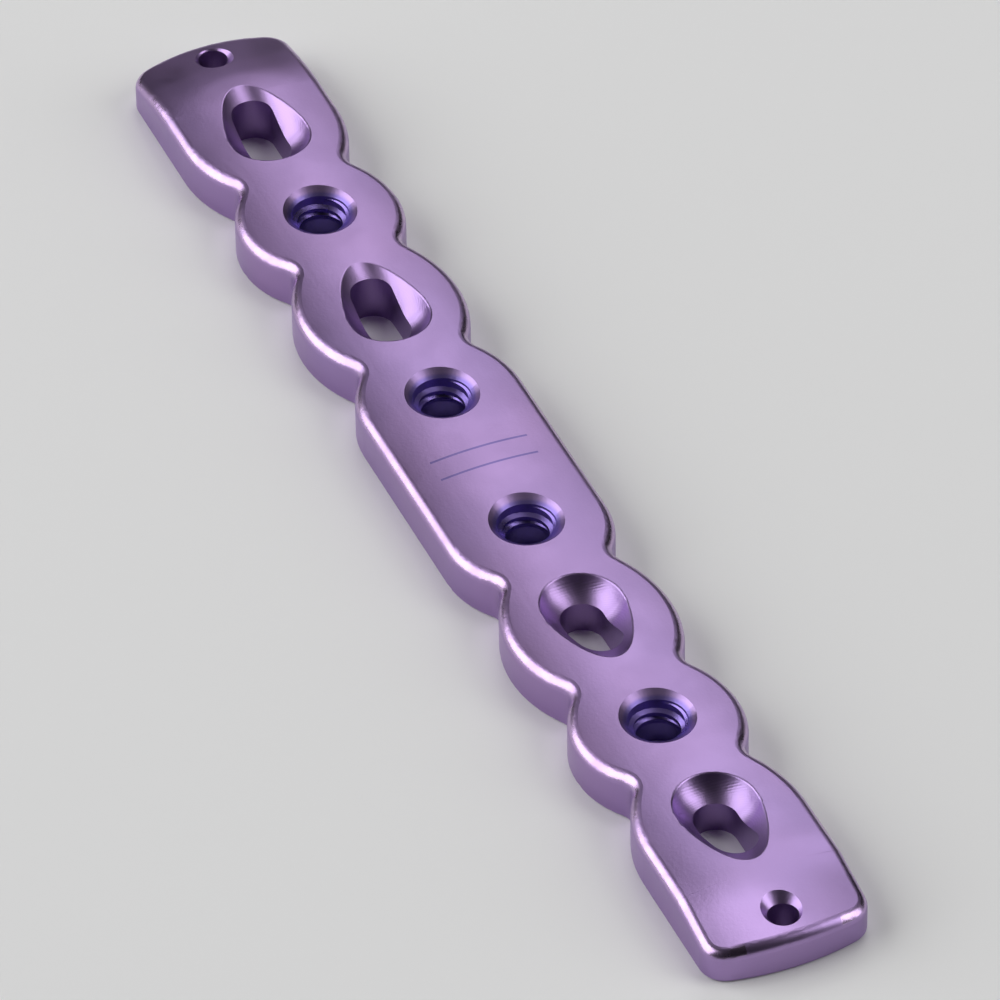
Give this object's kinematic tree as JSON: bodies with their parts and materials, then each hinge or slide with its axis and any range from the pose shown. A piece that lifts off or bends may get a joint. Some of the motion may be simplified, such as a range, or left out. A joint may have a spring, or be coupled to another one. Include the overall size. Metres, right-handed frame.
{
  "type": "orthopedic bone plate",
  "caption": "Straight scalloped reconstruction plate for small bones, with locking and compression screw holes in turn, a wire hole in each ramped end and a crowned, anodised top.",
  "frame": {"origin": "under the middle of the plate, on the flat underside", "axes": "+Y along the plate's length, +X across its width, +Z out of its crowned face"},
  "size_m": [0.0112, 0.096, 0.0037],
  "materials": {
    "anodised_titanium": "violet anodised titanium, satin"
  },
  "bodies": {
    "root": {"bone_plate": "anodised_titanium"}
  },
  "joints": []
}
